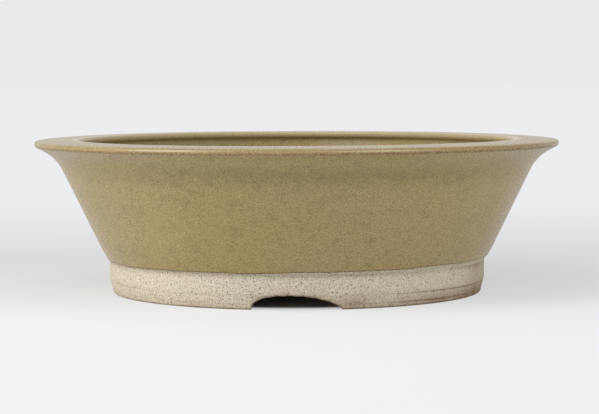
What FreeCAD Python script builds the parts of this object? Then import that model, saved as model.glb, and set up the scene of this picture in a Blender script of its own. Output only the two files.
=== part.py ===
import FreeCAD, Part

import math
import os
import re

import Sketcher

# Ikebana suiban: a low, wide stoneware flower basin on a bare foot ring, with a needle frog standing in it.
# Millimetres, +Z up. The origin is the centre of the foot ring's resting face, and the front arch faces -Y.

# Driving sizes in millimetres: name, value, what it measures
SIZES = [
    ("rim_radius", 150.0, "axis to the outermost edge of the lip, over the glaze"),
    ("rim_height", 87.7, "ground to the top of the lip's inner edge, over the glaze"),
    ("flare", 42.4, "how far the lip reaches out past the foot"),
    ("foot_height", 18.5, "ground to the crease where foot ring and basin are joined"),
    ("haunch_rise", 6.7, "height of the rounded turn just above the crease"),
    ("haunch_out", 4.0, "how far that turn leads outward"),
    ("wall", 8.8, "clay wall, measured level"),
    ("floor_clay", 9.0, "clay floor"),
    ("floor_round", 14.0, "radius between floor and inner wall"),
    ("lip_overhang", 12.6, "lip edge to the corner where wall and lip meet outside"),
    ("neck_drop", 9.7, "lip top to that corner"),
    ("neck_round", 25.5, "radius that eases that corner"),
    ("lip_edge", 2.1, "clay thickness at the lip's outer edge"),
    ("lip_droop", 0.75, "how much lower the lip lies at its outer edge"),
    ("inner_lip", 6.2, "how far the lip overhangs inside the wall"),
    ("inner_lip_edge", 2.6, "clay thickness at the lip's inner edge"),
    ("inner_undercut", 0.8, "fall of the lip's underside towards the inner wall"),
    ("undercut_round", 3.0, "radius where that underside meets the inner wall"),
    ("glaze", 0.5, "thickness of the fired glaze coats"),
    ("bare_strip", 0.8, "bare clay between the crease and the glaze line"),
    ("foot_width", 15.0, "foot ring's wall at its top"),
    ("foot_taper_height", 9.0, "height of the foot's tapered lower part"),
    ("foot_taper", 2.0, "how far that taper draws the outside in at the ground"),
    ("foot_inner_taper", 1.5, "how far the inside opens at the ground"),
    ("foot_round", 1.5, "rounded edges of the resting face"),
    ("arch_width", 49.0, "width of each arch at the ground"),
    ("arch_height", 7.7, "height of each arch at its crown"),
    ("arch_lean", 5.5, "crown's place to the left of the arch's middle, seen from outside"),
    ("left_jamb", 4.4, "height of the arch's steep left side"),
    ("left_jamb_slant", 2.0, "how far that side leans in over its height"),
    ("right_jamb", 2.9, "height of the arch's slower right side"),
    ("right_jamb_slant", 3.5, "how far that side leans in over its height"),
    ("frog_radius", 37.5, "needle frog's lead base"),
    ("frog_base", 9.0, "height of the lead base"),
    ("frog_round", 1.2, "rounded top edge of the lead base"),
    ("needle_radius", 0.6, "brass needle"),
    ("needle_height", 13.0, "needle above the lead"),
    ("needle_point", 4.0, "length of its tapered point"),
    ("needle_pitch", 5.5, "distance from one ring of needles to the next"),
    ("needle_margin", 3.5, "least lead left bare outside the last ring"),
    ("rubber_wall", 2.0, "rubber ring's wall round the base"),
    ("rubber_climb", 5.5, "how far the rubber ring climbs the base"),
    ("rubber_sole", 1.0, "rubber under the base's edge"),
    ("rubber_sole_width", 4.5, "how far that rubber reaches in under the base"),
    ("rubber_gap", 0.1, "clearance between rubber wall and lead"),
    ("overrun", 5.0, "how far a cutting solid runs past what it cuts"),
]
ARCH_COUNT = 3
NEEDLES_ADDED_PER_RING = 6

# The radius of the roundings on each edge of the lip, and on the rubber, as a share of its thickness
LIP_ROUND_SHARE = 0.4
RUBBER_ROUND_SHARE = 0.25

# How a sketch numbers its own origin, and the places on an edge
ORIGIN = -1
START, END, CENTRE = 1, 2, 3

# Derived sizes, as formulas in the names above
CREASE_RADIUS = "(rim_radius - flare)"
HAUNCH_RADIUS = f"({CREASE_RADIUS} + haunch_out)"
HAUNCH_HEIGHT = "(foot_height + haunch_rise)"
NECK_RADIUS = "(rim_radius - lip_overhang)"
NECK_HEIGHT = "(rim_height - neck_drop)"
WALL_SLOPE = f"(({NECK_RADIUS} - {HAUNCH_RADIUS}) / ({NECK_HEIGHT} - {HAUNCH_HEIGHT}))"
LIP_OUTER_RADIUS = "(rim_radius - glaze)"
LIP_INNER_TOP = "(rim_height - glaze)"
LIP_OUTER_TOP = f"({LIP_INNER_TOP} - lip_droop)"
LIP_OUTER_BOTTOM = f"({LIP_OUTER_TOP} - lip_edge)"
LIP_INNER_BOTTOM = f"({LIP_INNER_TOP} - inner_lip_edge)"
INNER_WALL_TOP = f"({LIP_INNER_BOTTOM} - inner_undercut)"
FLOOR_TOP = "(foot_height + floor_clay)"
FOOT_INNER_RADIUS = f"({CREASE_RADIUS} - foot_width)"
GLAZE_LINE = "(foot_height + bare_strip)"
FROG_GROUND = f"({FLOOR_TOP} + glaze)"
RUBBER_INNER_RADIUS = "(frog_radius + rubber_gap)"


def wall_radius(height, depth):
    """Formula of the wall's radius at a height, at some depth in from its straight outer face."""
    return f"({HAUNCH_RADIUS} + {WALL_SLOPE} * ({height} - {HAUNCH_HEIGHT}) - {depth})"


INNER_WALL_TOP_RADIUS = wall_radius(INNER_WALL_TOP, "wall")
LIP_INNER_RADIUS = f"({INNER_WALL_TOP_RADIUS} - inner_lip)"


# The document and its sheet of sizes
document = FreeCAD.newDocument("ikebana_suiban")
sheet = document.addObject("Spreadsheet::Sheet", "sizes")
for row, (name, value, meaning) in enumerate(SIZES, start=1):
    sheet.set(f"A{row}", name)
    sheet.set(f"B{row}", str(value))
    sheet.set(f"C{row}", meaning)
    sheet.setAlias(f"B{row}", name)
document.recompute()

SIZE_NAMES = re.compile(r"\b(" + "|".join(name for name, value, meaning in SIZES) + r")\b")


def formula(text):
    """The text with each size's name pointing at its cell."""
    return SIZE_NAMES.sub(r"sizes.\1", text)


def measure(text):
    """What a formula comes to."""
    return float(sheet.evalExpression(formula(text)))


def origin_feature(body, role):
    """One of the body's own origin planes or axes."""
    return next(item for item in body.Origin.OriginFeatures if item.Role == role)


def upright_sketch(body, name):
    """An empty sketch on the body's XZ plane: across is the radius, up is the height."""
    sketch = body.newObject("Sketcher::SketchObject", name)
    sketch.AttachmentSupport = (origin_feature(body, "XZ_Plane"), [""])
    sketch.MapMode = "FlatFace"
    return sketch


def pin_point(sketch, edge, end, across, up):
    """Hold one end of an edge where two formulas put it."""
    for kind, text in (("DistanceX", across), ("DistanceY", up)):
        index = sketch.addConstraint(Sketcher.Constraint(kind, ORIGIN, START, edge, end, measure(text)))
        sketch.setExpression(f"Constraints[{index}]", formula(text))


def add_round(sketch, corner, before, here, after):
    """An arc that eases the corner at here, which comes from before and leads to after.

    Gives the arc's number, the end of it that meets the run before and the end that meets the run after,
    and where those two ends lie.
    """
    radius = measure(corner[2])
    back = (before - here).normalize()
    onward = (after - here).normalize()
    half_angle = back.getAngle(onward) / 2
    reach = radius / math.tan(half_angle)
    centre = here + (back + onward).normalize() * (radius / math.sin(half_angle))
    first, last = here + back * reach, here + onward * reach
    turns_left = back.cross(onward).z < 0
    start, end = (first, last) if turns_left else (last, first)
    from_angle = math.atan2(start.y - centre.y, start.x - centre.x)
    sweep = (math.atan2(end.y - centre.y, end.x - centre.x) - from_angle) % (2 * math.pi)
    circle = Part.Circle(centre, FreeCAD.Vector(0, 0, 1), radius)
    arc = sketch.addGeometry(Part.ArcOfCircle(circle, from_angle, from_angle + sweep), False)
    return arc, (START, END) if turns_left else (END, START), (first, last)


def draw_outline(sketch, corners):
    """A closed outline of straight runs. A corner is a pair of formulas, across and up, with the formula
    of a radius as a third where it is rounded; its point then stays where the two runs would meet."""
    points = [FreeCAD.Vector(measure(corner[0]), measure(corner[1]), 0) for corner in corners]
    count = len(points)
    rounds = {}
    cuts = [(point, point) for point in points]
    for index, corner in enumerate(corners):
        if len(corner) > 2:
            neighbours = points[index - 1], points[index], points[(index + 1) % count]
            arc, arc_ends, cuts[index] = add_round(sketch, corner, *neighbours)
            rounds[index] = arc, arc_ends
    runs = [sketch.addGeometry(Part.LineSegment(cuts[index][1], cuts[(index + 1) % count][0]), False)
            for index in range(count)]
    for index, corner in enumerate(corners):
        run_before, run_after = runs[index - 1], runs[index]
        if index not in rounds:
            sketch.addConstraint(Sketcher.Constraint("Coincident", run_before, END, run_after, START))
            pin_point(sketch, run_after, START, corner[0], corner[1])
            continue
        arc, (arc_start, arc_end) = rounds[index]
        meeting_point = sketch.addGeometry(Part.Point(points[index]), True)
        pin_point(sketch, meeting_point, START, corner[0], corner[1])
        for run in (run_before, run_after):
            sketch.addConstraint(Sketcher.Constraint("PointOnObject", meeting_point, START, run))
        sketch.addConstraint(Sketcher.Constraint("Tangent", run_before, END, arc, arc_start))
        sketch.addConstraint(Sketcher.Constraint("Tangent", arc, arc_end, run_after, START))
        size = sketch.addConstraint(Sketcher.Constraint("Radius", arc, measure(corner[2])))
        sketch.setExpression(f"Constraints[{size}]", formula(corner[2]))


def turned(body, name, corners):
    """A solid turned about the vertical axis from a closed outline."""
    sketch = upright_sketch(body, f"{name}_outline")
    draw_outline(sketch, corners)
    solid = body.newObject("PartDesign::Revolution", name)
    solid.Profile = sketch
    solid.ReferenceAxis = (sketch, ["V_Axis"])
    solid.Angle = 360
    document.recompute()


def make_basin():
    """Clay basin: floor, haunch, flaring wall, and the broad lip that overhangs on both sides."""
    body = document.addObject("PartDesign::Body", "basin")
    lip_round = f"(lip_edge * {LIP_ROUND_SHARE})"
    inner_lip_round = f"(inner_lip_edge * {LIP_ROUND_SHARE})"
    turned(body, "thrown_bowl", [
        ("0", "foot_height"),
        (CREASE_RADIUS, "foot_height"),
        (HAUNCH_RADIUS, HAUNCH_HEIGHT),
        (NECK_RADIUS, NECK_HEIGHT, "neck_round"),
        (LIP_OUTER_RADIUS, LIP_OUTER_BOTTOM, lip_round),
        (LIP_OUTER_RADIUS, LIP_OUTER_TOP, lip_round),
        (LIP_INNER_RADIUS, LIP_INNER_TOP, inner_lip_round),
        (LIP_INNER_RADIUS, LIP_INNER_BOTTOM, inner_lip_round),
        (INNER_WALL_TOP_RADIUS, INNER_WALL_TOP, "undercut_round"),
        (wall_radius(FLOOR_TOP, "wall"), FLOOR_TOP, "floor_round"),
        ("0", FLOOR_TOP),
    ])
    return body


def cut_arches(body):
    """Low arches through the foot ring, evenly spaced, each with its crown to the left of its middle.

    Each side leans in from the ground as a straight jamb, steep on the left and slower on the right. From
    the tops of the jambs two arcs lead up and meet level at the crown. The outline is cut from the axis out
    through the front of the ring, and the cut is repeated round it.
    """
    sketch = upright_sketch(body, "arch_outline")
    left, right = "(0 - arch_width / 2)", "(arch_width / 2)"
    crown = FreeCAD.Vector(measure("0 - arch_lean"), measure("arch_height"), 0)
    below = [
        (f"({left} + left_jamb_slant)", "left_jamb"),
        (left, "0"),
        (left, "(0 - overrun)"),
        (right, "(0 - overrun)"),
        (right, "0"),
        (f"({right} - right_jamb_slant)", "right_jamb"),
    ]
    places = [FreeCAD.Vector(measure(across), measure(up), 0) for across, up in below]
    runs = [sketch.addGeometry(Part.LineSegment(*pair), False) for pair in zip(places, places[1:])]
    curves = []
    for jamb_top in (places[-1], places[0]):
        rise = crown.y - jamb_top.y
        radius = ((jamb_top.x - crown.x) ** 2 + rise ** 2) / (2 * rise)
        centre = FreeCAD.Vector(crown.x, crown.y - radius, 0)
        angles = sorted(math.atan2(point.y - centre.y, point.x - centre.x) for point in (jamb_top, crown))
        circle = Part.Circle(centre, FreeCAD.Vector(0, 0, 1), radius)
        curves.append(sketch.addGeometry(Part.ArcOfCircle(circle, *angles), False))
    right_curve, left_curve = curves
    loop = runs + curves
    for edge, following in zip(loop, loop[1:] + loop[:1]):
        sketch.addConstraint(Sketcher.Constraint("Coincident", edge, END, following, START))
    for run, (across, up) in zip(runs, below):
        pin_point(sketch, run, START, across, up)
    pin_point(sketch, right_curve, START, *below[-1])
    pin_point(sketch, right_curve, END, "(0 - arch_lean)", "arch_height")
    for curve, crown_end in ((right_curve, END), (left_curve, START)):
        sketch.addConstraint(Sketcher.Constraint("Vertical", curve, crown_end, curve, CENTRE))
    whole = body.Tip.Shape.Volume
    pocket = body.newObject("PartDesign::Pocket", "front_arch")
    pocket.Profile = sketch
    pocket.Type = "Length"
    pocket.setExpression("Length", formula("rim_radius + overrun"))
    pocket.Reversed = True
    document.recompute()
    assert pocket.Shape.Volume < whole, "the arch cuts nothing"
    arches = body.newObject("PartDesign::PolarPattern", "arches")
    arches.Originals = [pocket]
    arches.Axis = (origin_feature(body, "Z_Axis"), [""])
    arches.Angle = 360
    arches.Occurrences = ARCH_COUNT
    body.Tip = arches
    document.recompute()


def make_foot_ring():
    """Bare stoneware ring, as wide as the basin at the crease, tapered towards the ground."""
    body = document.addObject("PartDesign::Body", "foot_ring")
    turned(body, "thrown_ring", [
        (f"({FOOT_INNER_RADIUS} + foot_inner_taper)", "0", "foot_round"),
        (f"({CREASE_RADIUS} - foot_taper)", "0", "foot_round"),
        (CREASE_RADIUS, "foot_taper_height"),
        (CREASE_RADIUS, "foot_height"),
        (FOOT_INNER_RADIUS, "foot_height"),
    ])
    cut_arches(body)
    return body


def make_glaze_coats(basin):
    """The fired coats: the basin's own form grown by the glaze, less the clay, in an inner and outer half."""
    glazed_form = document.addObject("Part::Offset", "glazed_form")
    glazed_form.Source = basin
    glazed_form.setExpression("Value", formula("glaze"))
    whole_coat = document.addObject("Part::Cut", "whole_coat")
    whole_coat.Base = glazed_form
    whole_coat.Tool = basin
    poured_region = document.addObject("Part::Cone", "poured_region")
    poured_region.setExpression("Radius1", formula(wall_radius("foot_height", "wall / 2")))
    poured_region.setExpression("Radius2", formula(wall_radius(LIP_INNER_BOTTOM, "wall / 2")))
    poured_region.setExpression("Height", formula(f"{LIP_INNER_BOTTOM} - foot_height"))
    poured_region.setExpression("Placement.Base.z", formula("foot_height"))
    bare_region = document.addObject("Part::Cylinder", "bare_region")
    bare_region.setExpression("Radius", formula("rim_radius + overrun"))
    bare_region.setExpression("Height", formula(GLAZE_LINE))
    inside = document.addObject("Part::Common", "inside_glaze")
    inside.Base = whole_coat
    inside.Tool = poured_region
    outer_coat = document.addObject("Part::Cut", "outer_coat")
    outer_coat.Base = whole_coat
    outer_coat.Tool = poured_region
    outside = document.addObject("Part::Cut", "outside_glaze")
    outside.Base = outer_coat
    outside.Tool = bare_region
    document.recompute()
    return [outside, inside]


def make_frog_rubber():
    """Rubber ring that the lead base stands in: a low wall round it and a sole under its edge."""
    body = document.addObject("PartDesign::Body", "kenzan_rubber_ring")
    rim = f"({RUBBER_INNER_RADIUS} + rubber_wall)"
    top = "(rubber_sole + rubber_climb)"
    soft_edge = f"(rubber_wall * {RUBBER_ROUND_SHARE})"
    turned(body, "rubber", [
        ("(frog_radius - rubber_sole_width)", "0"),
        (rim, "0", soft_edge),
        (rim, top, soft_edge),
        (RUBBER_INNER_RADIUS, top),
        (RUBBER_INNER_RADIUS, "rubber_sole"),
        ("(frog_radius - rubber_sole_width)", "rubber_sole"),
    ])
    body.setExpression("Placement.Base.z", formula(FROG_GROUND))
    return body


def make_frog_base():
    """Cast lead disc of the needle frog, with a rounded top edge."""
    body = document.addObject("PartDesign::Body", "kenzan_base")
    turned(body, "lead", [
        ("0", "0"),
        ("frog_radius", "0"),
        ("frog_radius", "frog_base", "frog_round"),
        ("0", "frog_base"),
    ])
    body.setExpression("Placement.Base.z", formula(f"{FROG_GROUND} + rubber_sole"))
    return body


def make_needles():
    """Brass needles standing on the lead in rings, each ring with six more needles than the last."""
    radius, height, point = (measure(name) for name in ("needle_radius", "needle_height", "needle_point"))
    corners = [(0, 0), (radius, 0), (radius, height - point), (0, height), (0, 0)]
    outline = Part.makePolygon([FreeCAD.Vector(across, 0, up) for across, up in corners])
    needle = Part.Face(outline).revolve(FreeCAD.Vector(0, 0, 0), FreeCAD.Vector(0, 0, 1), 360)
    rings = int(measure("(frog_radius - needle_margin) / needle_pitch"))
    places = [FreeCAD.Vector(0, 0, 0)]
    for ring in range(1, rings + 1):
        count = NEEDLES_ADDED_PER_RING * ring
        for step in range(count):
            angle = 2 * math.pi * step / count
            reach = ring * measure("needle_pitch")
            places.append(FreeCAD.Vector(reach * math.cos(angle), reach * math.sin(angle), 0))
    needles = document.addObject("Part::Feature", "kenzan_needles")
    needles.Shape = Part.Compound([needle.translated(place) for place in places])
    frog_top = measure(f"{FROG_GROUND} + rubber_sole + frog_base")
    needles.Placement = FreeCAD.Placement(FreeCAD.Vector(0, 0, frog_top), FreeCAD.Rotation())
    return needles


# The pieces in the order they are put together
basin = make_basin()
foot_ring = make_foot_ring()
pieces = [basin, foot_ring] + make_glaze_coats(basin) + [make_frog_rubber(), make_frog_base(), make_needles()]
document.recompute()

# Nothing is written unless every object is sound
for item in document.Objects:
    assert not {"Invalid", "Error"} & set(item.State), f"{item.Name} failed: {item.State}"
for piece in pieces:
    assert not piece.Shape.isNull() and piece.Shape.isValid(), f"{piece.Label} has no valid shape"

os.makedirs("parts", exist_ok=True)
for piece in pieces:
    piece.Shape.exportStep(f"parts/{piece.Label}.step")
    box = piece.Shape.BoundBox
    print(f"{piece.Label}: {len(piece.Shape.Solids)} solids, {piece.Shape.Volume:.0f} mm3, "
          f"radius {box.XMax:.2f}, height {box.ZMin:.2f} to {box.ZMax:.2f}")
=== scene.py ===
import math

import bpy
import numpy as np
from mathutils import Matrix, Vector


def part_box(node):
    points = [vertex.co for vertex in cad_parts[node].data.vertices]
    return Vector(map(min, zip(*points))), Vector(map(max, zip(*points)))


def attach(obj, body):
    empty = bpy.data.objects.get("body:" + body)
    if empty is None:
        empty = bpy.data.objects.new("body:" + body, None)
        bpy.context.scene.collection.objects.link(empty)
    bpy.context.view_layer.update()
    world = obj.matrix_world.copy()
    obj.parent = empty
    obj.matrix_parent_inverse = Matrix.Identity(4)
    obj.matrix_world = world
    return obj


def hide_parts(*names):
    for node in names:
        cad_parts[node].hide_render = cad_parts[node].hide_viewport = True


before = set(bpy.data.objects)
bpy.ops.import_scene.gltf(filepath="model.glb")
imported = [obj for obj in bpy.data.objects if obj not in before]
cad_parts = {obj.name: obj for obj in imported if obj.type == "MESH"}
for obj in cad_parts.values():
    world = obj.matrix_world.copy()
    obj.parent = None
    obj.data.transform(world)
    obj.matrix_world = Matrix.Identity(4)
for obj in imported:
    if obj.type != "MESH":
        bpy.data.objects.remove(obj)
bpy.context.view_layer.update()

# Basin
# A wheel-thrown bowl of grogged stoneware with a broad, flat lip that overhangs the wall on both sides.
# Glaze hides all of it but a thin strip above the foot and the trimmed underside. One outline is carried
# round the axis, and the glaze coats further down use the same outline, grown by their thickness.
# Lengths are in millimetres up to the mesh.
MM = 0.001
CLAY_AROUND = 240
CLAY_SPAN = 2.0
HAUNCH_OUT, HAUNCH_RISE, HAUNCH_ROUND = 4.0, 6.7, 12.0
WALL = 8.8
LIP_OVERHANG, NECK_DROP, NECK_ROUND = 12.1, 9.2, 25.5
LIP_EDGE, LIP_DROOP, LIP_ROUND = 2.1, 0.75, 0.84
LIP_SLOPE_IN, LIP_SLOPE_DOWN, LIP_SLOPE_ROUND = 4.5, 0.30, 30.0
LIP_CREST_IN, LIP_CREST_DOWN, LIP_CREST_ROUND = 13.0, 0.04, 60.0
INNER_LIP, INNER_LIP_EDGE, INNER_LIP_ROUND, INNER_LIP_SHOULDER = 6.2, 2.6, 1.04, 1.5
UNDERCUT, UNDERCUT_ROUND = 0.8, 2.0
INNER_NECK_IN, INNER_NECK_FOOT, INNER_NECK_ROUND = 2.8, 66.0, 25.0
FLOOR_ROUND = 14.0
FOOT_WALL = 15.0
TRIM_RING_PITCH, TRIM_RING_DEPTH = 6.5, 0.22
TRIM_RING_START, TRIM_RING_FULL = 1.0, 4.0
DRAWN_IN = (2, 0.10, 0.6), (3, 0.05, 2.1)
LOWERED = (2, 0.07, -0.9), (5, 0.03, 0.4)
LOWERED_POWER = 4
UNDERSIDE_STAIN = 0.25

foot_radius, _, crease_height = (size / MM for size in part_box("foot_ring")[1])
lip_radius, _, lip_top = (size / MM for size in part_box("basin")[1])
clay_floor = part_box("inside_glaze")[0].z / MM
foot_inside = foot_radius - FOOT_WALL


def eased_outline(corners, depth=0.0, span=1.0, arc_steps=10):
    """Points (radius, height) along a run of corners (radius, height, rounding), grown outward by depth.

    A corner moves along the mitre of its two runs: depth times the sum of their outward normals, over one
    plus the normals' dot product. Its rounding is an arc tangent to both runs. Straight stretches are divided
    so that none is longer than span, in numbers that don't depend on depth.
    """
    places = np.array([corner[:2] for corner in corners], float)
    runs = np.diff(places, axis=0)
    lengths = np.linalg.norm(runs, axis=1)
    runs = runs / lengths[:, None]
    outward = np.column_stack([runs[:, 1], -runs[:, 0]])
    before, after = np.vstack([outward[:1], outward]), np.vstack([outward, outward[-1:]])
    mitres = (before + after) / (1 + np.sum(before * after, axis=1, keepdims=True))
    places = places + depth * mitres
    line = [places[:1]]
    for index in range(1, len(corners)):
        arc = places[index:index + 1]
        if index < len(corners) - 1:
            along, onward = runs[index - 1], runs[index]
            turn = math.atan2(along[0] * onward[1] - along[1] * onward[0], along @ onward)
            bulge = math.copysign(1.0, turn)
            radius = max(corners[index][2] + bulge * depth, 0.0)
            swept = np.linspace(0.0, abs(turn), arc_steps + 1)[:, None]
            start = places[index] - along * radius * math.tan(abs(turn) / 2)
            arc = start + radius * (np.sin(swept) * along - bulge * (1 - np.cos(swept)) * outward[index - 1])
        steps = max(1, math.ceil(lengths[index - 1] / span))
        share = np.arange(1, steps)[:, None] / steps
        line += [line[-1][-1:] * (1 - share) + arc[:1] * share, arc]
    return np.vstack(line)


def wall_radius(height):
    """Radius of the wall's straight outer clay face at a height."""
    slope = (neck[0] - haunch[0]) / (neck[1] - haunch[1])
    return haunch[0] + slope * (height - haunch[1])


haunch = foot_radius + HAUNCH_OUT, crease_height + HAUNCH_RISE
neck = lip_radius - LIP_OVERHANG, lip_top - NECK_DROP
inner_wall_top = lip_top - INNER_LIP_EDGE - UNDERCUT
inner_wall_radius = wall_radius(inner_wall_top) - WALL
mouth_radius = inner_wall_radius - INNER_LIP
clay_corners = [
    (0.0, crease_height, 0.0),
    (foot_radius, crease_height, 0.0),
    (*haunch, HAUNCH_ROUND),
    (*neck, NECK_ROUND),
    (lip_radius, lip_top - LIP_DROOP - LIP_EDGE, LIP_ROUND),
    (lip_radius, lip_top - LIP_DROOP, LIP_ROUND),
    (lip_radius - LIP_SLOPE_IN, lip_top - LIP_SLOPE_DOWN, LIP_SLOPE_ROUND),
    (lip_radius - LIP_CREST_IN, lip_top - LIP_CREST_DOWN, LIP_CREST_ROUND),
    (mouth_radius, lip_top, INNER_LIP_SHOULDER),
    (mouth_radius, lip_top - INNER_LIP_EDGE, INNER_LIP_ROUND),
    (inner_wall_radius - INNER_NECK_IN, inner_wall_top, UNDERCUT_ROUND),
    (wall_radius(INNER_NECK_FOOT) - WALL, INNER_NECK_FOOT, INNER_NECK_ROUND),
    (wall_radius(clay_floor) - WALL, clay_floor, FLOOR_ROUND),
    (0.0, clay_floor, 0.0),
]


def waves_round(azimuth, waves):
    """Sum of waves round the axis, none below 0: each is its size times one less the cosine of its number of
    turns times the azimuth, plus its start."""
    return sum(size * (1 - np.cos(turns * azimuth + start)) for turns, size, start in waves)


def as_thrown(radius, height, azimuth):
    """Grid of points in millimetres for radii and heights at azimuths, with the unevenness of thrown clay.

    Azimuth is 0 at the front and grows towards the right. Towards the lip the form is drawn in by up to
    0.3 mm in two and three soft waves round the axis, and the lip lies lower by up to 0.2 mm in two and five.
    """
    radius, height, azimuth = np.broadcast_arrays(radius, height, azimuth)
    up = np.clip(height / lip_top, 0, 1)
    radius = radius - np.minimum(up * waves_round(azimuth, DRAWN_IN), radius)
    height = height - up ** LOWERED_POWER * waves_round(azimuth, LOWERED)
    return np.stack([radius * np.sin(azimuth), -radius * np.cos(azimuth), height], axis=-1)


def add_piece(name, body, nodes, grid, marks=None, loop=False):
    """A smooth mesh of a grid of points, rows along an outline by columns around the axis, in millimetres.

    Each cell is the face between a row and the next, and a column and the next; columns wrap round. With
    loop the rows wrap too. Without it the first and last rows are poles, each drawn together into one point.
    A grid with one more dimension is a row of such grids in one mesh. marks maps the name of a point
    attribute to its values on the grid.
    """
    rows, columns = grid.shape[-3:-1]
    numbers = np.arange(rows * columns).reshape(rows, columns)
    if loop:
        numbers = np.vstack([numbers, numbers[:1]])
    else:
        numbers[0], numbers[-1] = numbers[0, 0], numbers[-1, 0]
    turned = np.roll(numbers, -1, axis=1)
    faces = np.stack([numbers[:-1], turned[:-1], turned[1:], numbers[1:]], axis=-1)
    used, faces = np.unique(faces, return_inverse=True)
    points = (grid * MM).reshape(-1, rows * columns, 3)[:, used]
    faces = faces.reshape(-1, 4) + len(used) * np.arange(len(points))[:, None, None]
    faces = faces.reshape(-1, 4)
    at_start, at_end = faces[:, 0] == faces[:, 1], faces[:, 2] == faces[:, 3]
    quads = faces[~at_start & ~at_end]
    fans = np.vstack([faces[at_start][:, 1:], faces[at_end][:, :3]])
    mesh = bpy.data.meshes.new(name)
    mesh.from_pydata(points.reshape(-1, 3).tolist(), [], quads.tolist() + fans.tolist())
    mesh.polygons.foreach_set("use_smooth", np.ones(len(mesh.polygons), bool))
    for mark, values in (marks or {}).items():
        values = np.broadcast_to(values, grid.shape[:-1]).reshape(-1, rows * columns)[:, used]
        attribute = mesh.attributes.new(mark, "FLOAT", "POINT")
        attribute.data.foreach_set("value", values.ravel().astype(np.float32))
    piece = bpy.data.objects.new(name, mesh)
    bpy.context.scene.collection.objects.link(piece)
    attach(piece, body)
    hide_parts(*nodes)
    return piece


def around(columns):
    """Azimuths of evenly spaced columns, in radians, from the front."""
    return 2 * math.pi * np.arange(columns)[None, :] / columns


def soft_step(values, low, high):
    """0 below low, 1 above high, and a smooth rise between: 3t squared less 2t cubed."""
    share = np.clip((values - low) / (high - low), 0, 1)
    return share * share * (3 - 2 * share)


clay_line = eased_outline(clay_corners, span=CLAY_SPAN)
clay_radius, clay_height = clay_line[:, :1], clay_line[:, 1:]
in_the_foot = soft_step(foot_inside - clay_radius, TRIM_RING_START, TRIM_RING_FULL)
under_floor = (clay_height < crease_height + MM) * in_the_foot
trim_rings = TRIM_RING_DEPTH * (0.5 - 0.5 * np.cos(2 * math.pi * clay_radius / TRIM_RING_PITCH)) * under_floor
basin = add_piece("clay_basin", "vessel", ["basin"],
                  as_thrown(clay_radius, clay_height + trim_rings, around(CLAY_AROUND)),
                  {"stain_and_shade": UNDERSIDE_STAIN})


def linear(hex_colour):
    """An sRGB colour such as "#C8BFA9" as linear RGBA: each share is divided by 12.92 if it is dark, or else
    has 0.055 added, is divided by 1.055 and raised to the power 2.4."""
    shares = [int(hex_colour[place:place + 2], 16) / 255 for place in (1, 3, 5)]
    return [c / 12.92 if c <= 0.04045 else ((c + 0.055) / 1.055) ** 2.4 for c in shares] + [1.0]


def new_material(name):
    """An empty material with a surface shader, and that shader."""
    material = bpy.data.materials.new(name)
    material.use_nodes = True
    return material, material.node_tree.nodes["Principled BSDF"]


def add_node(owner, kind, sockets=None, stops=None, **settings):
    """A shader node with its settings. sockets gives each input socket a value or another node's output, and
    stops gives a colour ramp its places and colours."""
    node = owner.node_tree.nodes.new(kind)
    for name, value in settings.items():
        setattr(node, name, value)
    for key, value in (sockets or {}).items():
        if isinstance(value, bpy.types.NodeSocket):
            owner.node_tree.links.new(value, node.inputs[key])
        else:
            node.inputs[key].default_value = value
    for index, (place, colour) in enumerate(stops or []):
        elements = node.color_ramp.elements
        element = elements[index] if index < 2 else elements.new(place)
        element.position, element.color = place, colour
    return node


# The input and output numbers of a colour mix node
FACTOR, FIRST, SECOND, MIXED = 0, 6, 7, 2

# Bare grogged stoneware, fired pale: a matt, dry surface, cream with light grog and dark iron grains showing
# everywhere, so the eye reads a coarse sand. Brown stains, and on the foot's right side partly painted shade,
# lie where the stain mark is set. The sand and the grains are 0.2 to 0.6 mm on the real clay, and are drawn
# 0.6 to 1.1 mm wide so that they show. A cell of the grog or iron pattern holds a grain where its own random
# number is above the limit.
SAND_SIZE, GROG_PITCH, IRON_PITCH, CLAY_CLOUD_SIZE = 0.8 * MM, 1.7 * MM, 2.4 * MM, 14 * MM
GROG_LIMIT, IRON_LIMIT = 0.78, 0.60
stoneware, clay_finish = new_material("bare_grogged_stoneware")
clay_place = add_node(stoneware, "ShaderNodeTexCoord").outputs["Object"]
clay_cloud = add_node(stoneware, "ShaderNodeTexNoise", {
    "Vector": clay_place, "Scale": 1 / CLAY_CLOUD_SIZE, "Detail": 3.0})
clay_sand = add_node(stoneware, "ShaderNodeTexNoise", {
    "Vector": clay_place, "Scale": 1 / SAND_SIZE, "Detail": 2.0, "Roughness": 0.7})
clay_grog = add_node(stoneware, "ShaderNodeTexVoronoi", {"Vector": clay_place, "Scale": 1 / GROG_PITCH})
clay_iron = add_node(stoneware, "ShaderNodeTexVoronoi", {"Vector": clay_place, "Scale": 1 / IRON_PITCH})
clay_ground = add_node(stoneware, "ShaderNodeMix", {
    FACTOR: clay_cloud.outputs["Fac"], FIRST: linear("#CDC5B3"), SECOND: linear("#DDD7C9")}, data_type="RGBA")
clay_grit = add_node(stoneware, "ShaderNodeValToRGB", {"Fac": clay_sand.outputs["Fac"]}, stops=[
    (0.28, linear("#857B6C")), (0.72, linear("#FFFFFF")),
    (0.40, linear("#D3CCC0")), (0.50, linear("#F1EDE6"))])
clay_gritty = add_node(stoneware, "ShaderNodeMix", {
    FACTOR: 1.0, FIRST: clay_ground.outputs[MIXED], SECOND: clay_grit.outputs["Color"]},
    data_type="RGBA", blend_type="MULTIPLY")
grog_cell = add_node(stoneware, "ShaderNodeSeparateColor", {"Color": clay_grog.outputs["Color"]})
grog_chosen = add_node(stoneware, "ShaderNodeMath", {
    0: grog_cell.outputs["Red"], 1: GROG_LIMIT}, operation="GREATER_THAN")
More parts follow.
